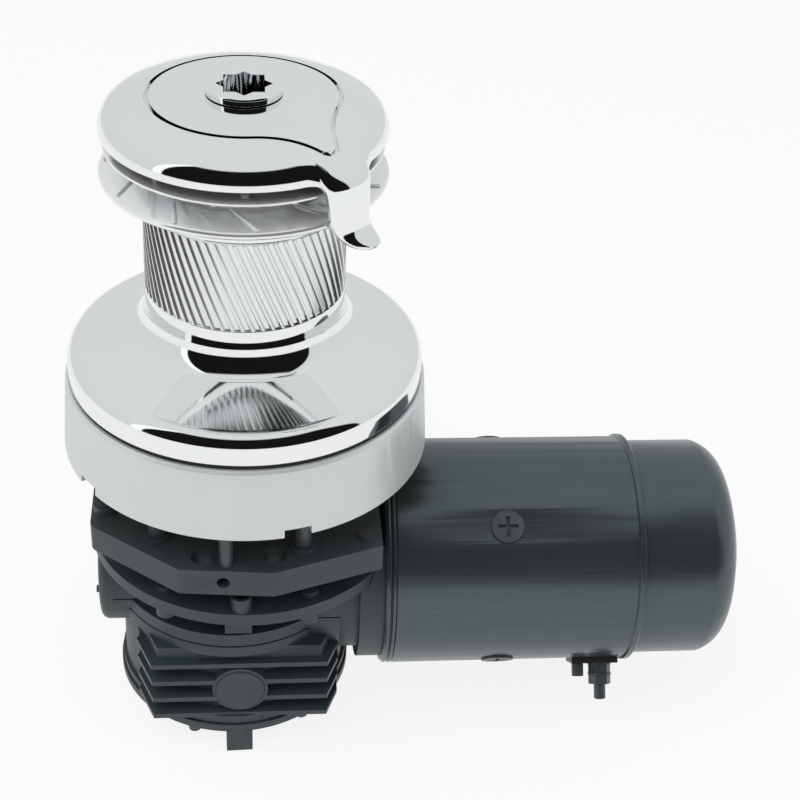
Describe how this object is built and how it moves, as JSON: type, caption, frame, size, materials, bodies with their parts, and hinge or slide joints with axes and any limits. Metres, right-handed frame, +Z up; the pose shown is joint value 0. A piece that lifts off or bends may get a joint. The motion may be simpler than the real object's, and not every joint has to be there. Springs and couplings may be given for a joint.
{
  "type": "electric self-tailing winch",
  "caption": "Sailing winch with a ribbed chrome drum, self-tailing jaws, a rope feeder arm and a handle socket, driven from below deck by a worm gearbox and a horizontal electric motor.",
  "frame": {"origin": "centre of the base's lower face, where the drum axis meets the top of the deck", "axes": "+Z up along the drum axis, +X from the drum axis toward the motor's end, +Y away from the side that carries the motor terminals"},
  "size_m": [0.3364, 0.1728, 0.3383],
  "materials": {
    "chrome": "polished chrome plate",
    "satin_alloy": "satin grey anodised",
    "black_casting": "cast alloy with satin black paint",
    "motor_black": "semi-gloss blue-black paint",
    "stainless": "stainless steel",
    "gear_steel": "hardened, oiled",
    "dark_steel": "blackened steel",
    "bronze": "machined bronze",
    "bronze_casting": "cast bronze",
    "copper": "enamelled copper wire",
    "magnet_iron": "laminated iron",
    "carbon": "pressed graphite",
    "black_plastic": "moulded",
    "white_plastic": "acetal",
    "seal_rubber": "matt"
  },
  "bodies": {
    "housing": {"arm_cover": "chrome", "arm_screws": "stainless", "base_ring": "satin_alloy", "bearing_sleeve": "white_plastic", "bottom_cover": "black_casting", "bracket_screws": "dark_steel", "brush_holder": "black_plastic", "brushes": "carbon", "case_plug": "black_plastic", "deck_studs": "dark_steel", "earth_post": "dark_steel", "feeder_arm": "chrome", "field_coils": "copper", "gear_case": "black_casting", "gearbox_bearings": "gear_steel", "gearbox_bolts": "dark_steel", "gearbox_gaskets": "seal_rubber", "gearbox_top": "black_casting", "idler_spindles": "gear_steel", "locating_posts": "dark_steel", "motor_adapter": "black_casting", "motor_bearings": "gear_steel", "motor_can": "motor_black", "motor_end_cap": "motor_black", "motor_front": "motor_black", "mount_bracket": "black_casting", "pole_screws": "dark_steel", "pole_shoes": "magnet_iron", "ring_screws": "stainless", "shaft_bushes": "bronze", "skirt_seal": "seal_rubber", "terminal_insulator": "black_plastic", "terminal_nuts": "dark_steel", "terminal_stud": "dark_steel", "thrust_washer": "white_plastic", "winch_base": "bronze_casting", "worm_end_cap": "black_casting"},
    "drum": {"drum": "chrome", "ring_gear": "bronze", "lower_jaw": "chrome", "jaw_keeper": "stainless", "jaw_screws": "stainless", "jaw_springs": "stainless"},
    "upper_jaw": {"upper_jaw": "chrome"},
    "roller_train": {"drum_rollers": "gear_steel", "roller_cages": "white_plastic"},
    "main_shaft": {"main_shaft": "stainless", "sun_gear": "gear_steel", "handle_socket": "chrome"},
    "idler_front": {"idler_gear_front": "bronze"},
    "idler_rear": {"idler_gear_rear": "bronze"},
    "motor_rotor": {"worm_shaft": "gear_steel", "armature_core": "magnet_iron", "armature_windings": "copper", "commutator": "copper"},
    "worm_wheel": {"worm_wheel": "bronze", "wheel_shaft": "gear_steel", "pinion": "gear_steel"},
    "output_gear": {"output_gear": "gear_steel", "clutch_rollers": "gear_steel"}
  },
  "joints": [
    {"name": "drum_spin", "type": "hinge", "parent": "housing", "child": "drum", "pos_m": [0, 0, 0], "axis": [0, 0, 1], "continuous": true},
    {"name": "upper_jaw_lift", "type": "slide", "parent": "drum", "child": "upper_jaw", "axis": [0, 0, 1], "range_m": [0, 0.0024], "stiffness_N_per_m": 6000, "springref_m": -0.0012, "deforming": ["jaw_springs"]},
    {"name": "roller_train_spin", "type": "hinge", "parent": "housing", "child": "roller_train", "pos_m": [0, 0, 0], "axis": [0, 0, 1], "continuous": true},
    {"name": "main_shaft_spin", "type": "hinge", "parent": "housing", "child": "main_shaft", "pos_m": [0, 0, 0], "axis": [0, 0, 1], "continuous": true},
    {"name": "idler_front_spin", "type": "hinge", "parent": "housing", "child": "idler_front", "pos_m": [0, -0.044, 0.044], "axis": [0, 0, 1], "continuous": true},
    {"name": "idler_rear_spin", "type": "hinge", "parent": "housing", "child": "idler_rear", "pos_m": [0, 0.044, 0.044], "axis": [0, 0, 1], "continuous": true},
    {"name": "motor_spin", "type": "hinge", "parent": "housing", "child": "motor_rotor", "pos_m": [0.1, 0, -0.0783], "axis": [1, 0, 0], "continuous": true},
    {"name": "worm_wheel_spin", "type": "hinge", "parent": "housing", "child": "worm_wheel", "pos_m": [0, -0.03, -0.0783], "axis": [0, 0, 1], "continuous": true},
    {"name": "output_gear_spin", "type": "hinge", "parent": "housing", "child": "output_gear", "pos_m": [0, 0, -0.0595], "axis": [0, 0, 1], "continuous": true}
  ],
  "couplings": [
    {"joint": "roller_train_spin", "follows": "drum_spin", "ratio": 0.55},
    {"joint": "main_shaft_spin", "follows": "drum_spin", "ratio": -3.4},
    {"joint": "idler_front_spin", "follows": "drum_spin", "ratio": 2.8333},
    {"joint": "idler_rear_spin", "follows": "drum_spin", "ratio": 2.8333},
    {"joint": "worm_wheel_spin", "follows": "motor_spin", "ratio": 0.035714},
    {"joint": "output_gear_spin", "follows": "motor_spin", "ratio": -0.02381}
  ]
}
